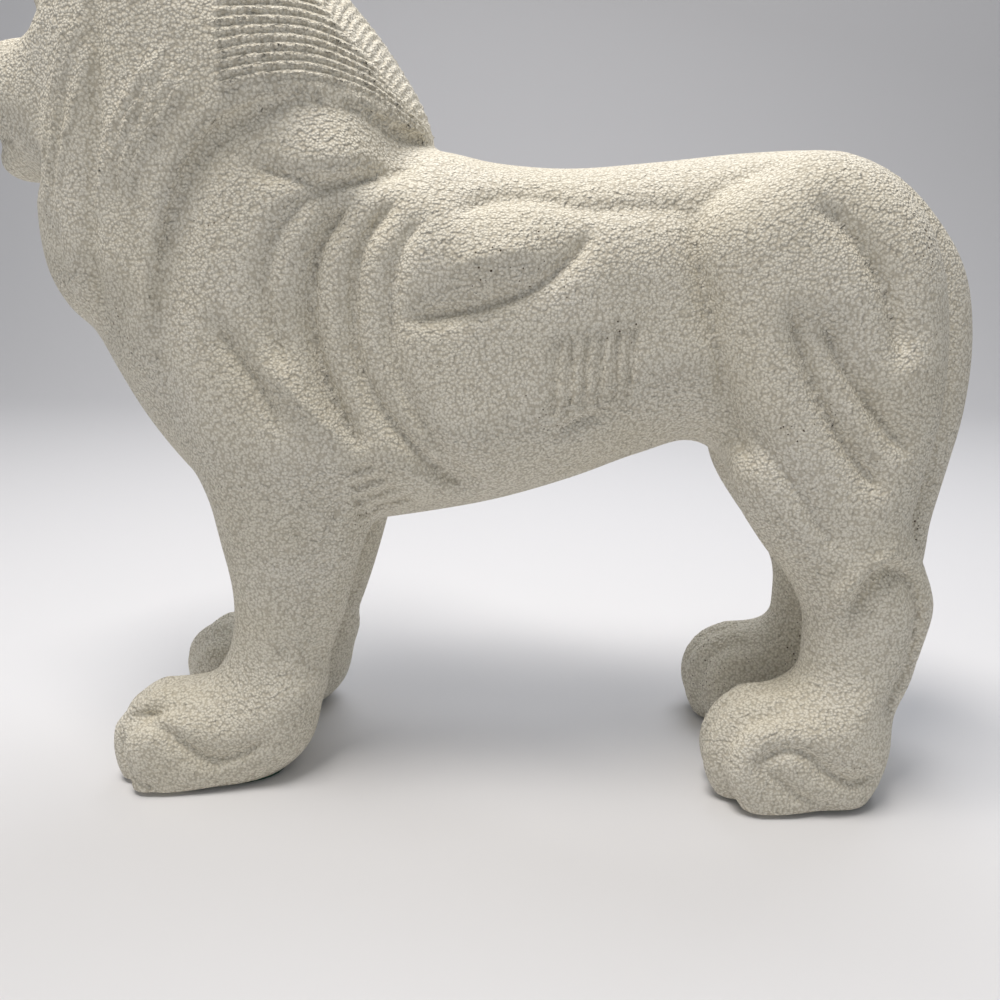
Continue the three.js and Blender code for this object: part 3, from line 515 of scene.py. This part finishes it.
def ribs(x, y, z):
    pitch = rib_pitch(x)
    turns = (z - rib_start(x)) / pitch
    nape = smoothstep(-0.6, -0.2, turns) * smoothstep(RIB_LEFT - 4, RIB_LEFT, x)
    ribbed = RIB_STEEPNESS * pitch * crests(turns) * (1 - smoothstep(-1, 1, x - rib_end(z)))
    up_the_back = 0.71 * (z - x)
    rows = SCALLOP_HEIGHT * crests((up_the_back + y * y / SCALLOP_BOW) / SCALLOP_PITCH)
    scalloped = rows * smoothstep(0, 2, x - rib_end(z)) * (1 - smoothstep(BAND_HALF - 4, BAND_HALF, y))
    return (ribbed + scalloped) * nape


LIMB_BLEND = 9
NECK_BLEND = 8
TAIL_BLEND = 5
MANE_BLEND = 2
HEAD_BLEND = 5


def figure(points):
    """The whole statue as one signed distance, below zero in the stone. Both sides are alike."""
    x, y, z = points[:, 0], np.abs(points[:, 1]), points[:, 2]
    body = swelled(trunk_edge(x, z), y, TRUNK_ROUND, trunk_width(x))
    arm = swelled(arm_edge(x, z), y - arm_middle(z), ARM_ROUND, arm_width(z))
    thigh = swelled(thigh_edge(x, z), y - thigh_middle(z), THIGH_ROUND, thigh_width(z))
    body = blend(blend(body, arm, LIMB_BLEND), thigh, LIMB_BLEND)
    neck_edge = np.maximum(mane_edge(x, z), -face(x, z)) + HEM_STEP
    body = blend(body, swelled(neck_edge, y, mane_round(x), mane_width(x) - HEM_STEP), NECK_BLEND)
    flank = FLANK_DEEPENING * flank_lines(x, z) + stroke_lines(x, z) + flute_lines(x, z)
    body += flank * smoothstep(20, 36, y)
    low = z < 70
    for part, own in ((low & (x < 0), FRONT_PAW), (low & (x >= 0), HIND_PAW)):
        body[part] = blend(body[part], paw(own, x[part], y[part], z[part]), LIMB_BLEND)
    body += toe_lines(x, z) * smoothstep(36, 44, y) * low
    body = blend(body, tail(x, y, z), TAIL_BLEND)
    mane = swelled(mane_edge(x, z), y, mane_round(x), mane_width(x)) - ribs(x, y, z)
    mane += (mane_lines(x, z) + strand_lines(x, z)) * smoothstep(10, 30, y)
    mane = cut(cut(mane, hem(x, z), HEM_ROUND), -face(x, z), FACE_ROUND)
    body = blend(body, mane, MANE_BLEND)
    front = (x < -100) & (z > 225)
    body[front] = blend(body[front], head(x[front], y[front], z[front]), HEAD_BLEND)
    return body


def settle(points, rounds, furthest):
    """Moves points onto the figure, along its slope, by no more than the given distance."""
    start = points.copy()
    step = 0.3
    for _ in range(rounds):
        value = figure(points)
        slope = np.empty_like(points)
        for axis in range(3):
            nudge = np.zeros(3)
            nudge[axis] = step
            slope[:, axis] = (figure(points + nudge) - figure(points - nudge)) / (2 * step)
        squared = np.maximum(0.3, (slope**2).sum(1))
        points = points - slope * np.clip(value / squared, -1.2, 1.2)[:, None]
        offset = points - start
        far = np.linalg.norm(offset, axis=1, keepdims=True)
        points = start + offset * np.minimum(1, furthest / np.maximum(far, 1e-9))
    return points


# The soles stay above the felt, at this height in millimetres.
SOLE_HEIGHT = 2.1
# The first even skin has cells this wide, in metres.
VOXEL = 0.00285

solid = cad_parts["lion"]
skin = bmesh.new()
skin.from_mesh(solid.data)
bmesh.ops.remove_doubles(skin, verts=skin.verts, dist=1e-5)
coarse_mesh = bpy.data.meshes.new("coarse lion")
skin.to_mesh(coarse_mesh)
skin.free()
coarse = bpy.data.objects.new("coarse lion", coarse_mesh)
bpy.context.collection.objects.link(coarse)
remesh = coarse.modifiers.new("even skin", "REMESH")
remesh.mode = "VOXEL"
remesh.voxel_size = VOXEL
remeshed = bpy.data.meshes.new_from_object(coarse.evaluated_get(bpy.context.evaluated_depsgraph_get()))
bpy.data.objects.remove(coarse)

skin = bmesh.new()
skin.from_mesh(remeshed)


def settle_skin(rounds, furthest):
    places = np.array([v.co for v in skin.verts]) * 1000
    places = settle(places, rounds, furthest)
    places[:, 2] = np.maximum(places[:, 2], SOLE_HEIGHT)
    for vertex, place in zip(skin.verts, places):
        vertex.co = place / 1000


settle_skin(4, 5)


def refine(wanted):
    """Halves the edges of the faces whose middle, in millimetres, is in the wanted zone."""
    faces = list(skin.faces)
    middles = np.array([f.calc_center_median() for f in faces]) * 1000
    chosen = wanted(middles[:, 0], np.abs(middles[:, 1]), middles[:, 2])
    edges = {e for f, take in zip(faces, chosen) if take for e in f.edges}
    bmesh.ops.subdivide_edges(skin, edges=list(edges), cuts=1, use_grid_fill=True)


def carved_zone(x, y, z):
    """Where the carving is sharp: the deep lines on the flanks, and the paws."""
    lines = np.abs(flank_lines(x, z)) + 2 * np.abs(stroke_lines(x, z)) > 1.8
    paws = np.abs(toe_lines(x, z)) > 1
    return (lines & (y > 28)) | (paws & (y > 38))


def mane_and_face(x, y, z):
    """The strands and deep lines of the mane, the nape, and the face."""
    strands = (np.abs(strand_lines(x, z)) > 0.2) | (mane_lines(x, z) > 1.6)
    nape = (x > RIB_LEFT - 5) & (x < -8) & (z > rib_start(x) - 3) & (z < 325)
    return (strands & (y > 28)) | nape | ((x < -146) & (z > 234) & (z < 304))


def ribbed_or_struck(x, y, z):
    """Where the finest lines are: the ribs on the nape and the short strokes on the flank."""
    nape = (x > RIB_LEFT - 3) & (x < -8) & (z > rib_start(x) - 2) & (z < 325) & (y > 4)
    return nape | ((np.abs(stroke_lines(x, z)) > 0.2) & (y > 28))


refine(lambda x, y, z: carved_zone(x, y, z) | mane_and_face(x, y, z))
settle_skin(1, 2)
refine(ribbed_or_struck)
settle_skin(2, 2)

bmesh.ops.triangulate(skin, faces=[f for f in skin.faces if len(f.verts) > 4])
for f in skin.faces:
    f.smooth = True
skin.normal_update()
lion_mesh = bpy.data.meshes.new("stone_lion")
skin.to_mesh(lion_mesh)
skin.free()
lion = bpy.data.objects.new("stone_lion", lion_mesh)
bpy.context.collection.objects.link(lion)

# Cast stone: cream, a little darker and warmer in broad clouds, with a sandblasted grain of about 1 mm whose
# hollows carry painted shade, and scattered dark pits under 1 mm, most of them in a few patches
stone = bpy.data.materials.new("cast stone")
stone.use_nodes = True
shader = stone.node_tree.nodes["Principled BSDF"]
where = add_node(stone, "ShaderNodeTexCoord").outputs["Object"]
clouds = add_node(stone, "ShaderNodeTexNoise", Vector=where, Scale=28.0, Detail=4.0).outputs["Fac"]
cream = add_node(
    stone, "ShaderNodeMix", {"data_type": "RGBA"}, _0=clouds, _6=linear("#e6dfcb"), _7=linear("#f5f1e6")
).outputs[2]
gaps = add_node(stone, "ShaderNodeTexVoronoi", Vector=where, Scale=950.0).outputs["Distance"]
crumbs = add_node(stone, "ShaderNodeTexNoise", Vector=where, Scale=430.0, Detail=1.0).outputs["Fac"]
# Painted shade: the grain's hollows, where the Voronoi distance is large and the inverted bump sinks, are
# darkened towards #a0957f in the base colour, standing in for the shade the grain takes under light from
# above.
painted_grain_shade = add_node(
    stone, "ShaderNodeMapRange", {"interpolation_type": "SMOOTHSTEP"}, Value=gaps,
    From_Min=0.3, From_Max=0.75, To_Min=0.0, To_Max=0.5,
).outputs["Result"]
cream_with_grain_shade = add_node(
    stone, "ShaderNodeMix", {"data_type": "RGBA"}, _0=painted_grain_shade, _6=cream, _7=linear("#a0957f")
).outputs[2]
patches = add_node(stone, "ShaderNodeTexNoise", Vector=where, Scale=34.0, Detail=1.0).outputs["Fac"]
cells = add_node(stone, "ShaderNodeTexVoronoi", Vector=where, Scale=420.0).outputs["Distance"]
pit_size = add_node(
    stone, "ShaderNodeMapRange", Value=patches, From_Min=0.58, From_Max=0.75, To_Min=0.03, To_Max=0.17
).outputs["Result"]
pits = add_node(stone, "ShaderNodeMath", {"operation": "LESS_THAN"}, _0=cells, _1=pit_size).outputs[0]
pitted = add_node(
    stone, "ShaderNodeMix", {"data_type": "RGBA"}, _0=pits, _6=cream_with_grain_shade, _7=linear("#574a3c")
).outputs[2]
stone.node_tree.links.new(pitted, shader.inputs["Base Color"])
lumps = add_node(stone, "ShaderNodeBump", Strength=1.0, Distance=0.0012, Height=crumbs).outputs["Normal"]
bump = add_node(
    stone, "ShaderNodeBump", {"invert": True}, Strength=1.0, Distance=0.0006, Height=gaps, Normal=lumps
).outputs["Normal"]
stone.node_tree.links.new(bump, shader.inputs["Normal"])
shader.inputs["Roughness"].default_value = 0.92
shader.inputs["Specular IOR Level"].default_value = 0.25
lion.data.materials.append(stone)
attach(lion, "root")
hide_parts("lion")


# Felt pads: one under each paw, die-cut from dark green wool felt about 2 mm thick and glued on.
# Each is the solid's slab with its edges softened.
felt = bpy.data.materials.new("green wool felt")
felt.use_nodes = True
shader = felt.node_tree.nodes["Principled BSDF"]
where = add_node(felt, "ShaderNodeTexCoord").outputs["Object"]
fibres = add_node(felt, "ShaderNodeTexNoise", Vector=where, Scale=900.0, Detail=4.0).outputs["Fac"]
green = add_node(
    felt, "ShaderNodeMix", {"data_type": "RGBA"}, _0=fibres, _6=linear("#143a2a"), _7=linear("#2a5a44")
).outputs[2]
felt.node_tree.links.new(green, shader.inputs["Base Color"])
bump = add_node(felt, "ShaderNodeBump", Strength=0.8, Distance=0.0003, Height=fibres).outputs["Normal"]
felt.node_tree.links.new(bump, shader.inputs["Normal"])
shader.inputs["Roughness"].default_value = 1.0
shader.inputs["Sheen Weight"].default_value = 0.3

for place in ("front_left", "front_right", "hind_left", "hind_right"):
    slab = bmesh.new()
    slab.from_mesh(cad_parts["felt_" + place].data)
    bmesh.ops.remove_doubles(slab, verts=slab.verts, dist=1e-6)
    bmesh.ops.dissolve_limit(slab, angle_limit=0.02, verts=slab.verts, edges=slab.edges)
    level = [e for e in slab.edges if abs(e.verts[0].co.z - e.verts[1].co.z) < 1e-5]
    rims = [e for e in level if e.calc_face_angle(0) > 1]
    bmesh.ops.bevel(slab, geom=rims, offset=0.0003, segments=2, profile=0.5, affect="EDGES", material=-1)
    mesh = bpy.data.meshes.new("felt_pad_" + place)
    slab.to_mesh(mesh)
    slab.free()
    pad = bpy.data.objects.new(mesh.name, mesh)
    bpy.context.collection.objects.link(pad)
    pad.data.materials.append(felt)
    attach(pad, "root")
    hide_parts("felt_" + place)


# Floor and backdrop: one pale sheet that curves up behind the statue
paper = bpy.data.materials.new("pale paper")
paper.use_nodes = True
paper.node_tree.nodes["Principled BSDF"].inputs["Base Color"].default_value = linear("#e2e2e4")
paper.node_tree.nodes["Principled BSDF"].inputs["Roughness"].default_value = 0.95
sheet = bmesh.new()
profile = [(-2.5, 0.0), (0.9, 0.0)]
profile += [(0.9 + 0.5 * math.sin(a), 0.5 - 0.5 * math.cos(a)) for a in np.linspace(0.1, math.pi / 2, 12)]
profile += [(1.4, 3.0)]
rows = [[sheet.verts.new((x, y, z)) for y, z in profile] for x in (-3.0, 3.0)]
for i in range(len(profile) - 1):
    sheet.faces.new((rows[0][i], rows[1][i], rows[1][i + 1], rows[0][i + 1])).smooth = True
floor_mesh = bpy.data.meshes.new("backdrop")
sheet.to_mesh(floor_mesh)
sheet.free()
floor = bpy.data.objects.new("backdrop", floor_mesh)
bpy.context.collection.objects.link(floor)
floor.data.materials.append(paper)


# Light: a soft panel overhead on the near side, a weaker one overhead on the far side, and a pale room
def panel(name, place, aim, size, power, colour):
    light = bpy.data.lights.new(name, "AREA")
    light.shape = "RECTANGLE"
    light.size, light.size_y = size
    light.energy = power
    light.color = linear(colour)[:3]
    lamp = bpy.data.objects.new(name, light)
    lamp.location = place
    direction = np.array(aim) - np.array(place)
    lamp.rotation_euler = (
        math.atan2(math.hypot(direction[0], direction[1]), -direction[2]),
        0,
        math.atan2(direction[1], direction[0]) - math.pi / 2,
    )
    bpy.context.collection.objects.link(lamp)


panel("overhead panel", (-0.2, -0.22, 1.3), (0, 0, 0.15), (0.6, 0.35), 12.0, "#fffaf4")
panel("rear panel", (0.2, 0.45, 1.1), (0, 0, 0.2), (0.8, 0.5), 5.0, "#f8faff")
world = bpy.data.worlds.new("room")
world.use_nodes = True
world.node_tree.nodes["Background"].inputs["Color"].default_value = linear("#f2f5fa")
world.node_tree.nodes["Background"].inputs["Strength"].default_value = 0.3
bpy.context.scene.world = world
bpy.context.scene.view_settings.view_transform = "Standard"

# Camera: where the photo was taken from, about 0.38 m from the statue
camera_data = bpy.data.cameras.new("camera")
camera_data.sensor_width = 36
camera_data.lens = 33.12
camera_data.clip_start = 0.02
camera = bpy.data.objects.new("camera", camera_data)
camera.location = (0.0373, -0.3659, 0.2075)
camera.rotation_euler = (math.radians(90 - 15), 0, math.radians(4.5))
bpy.context.collection.objects.link(camera)
bpy.context.scene.camera = camera
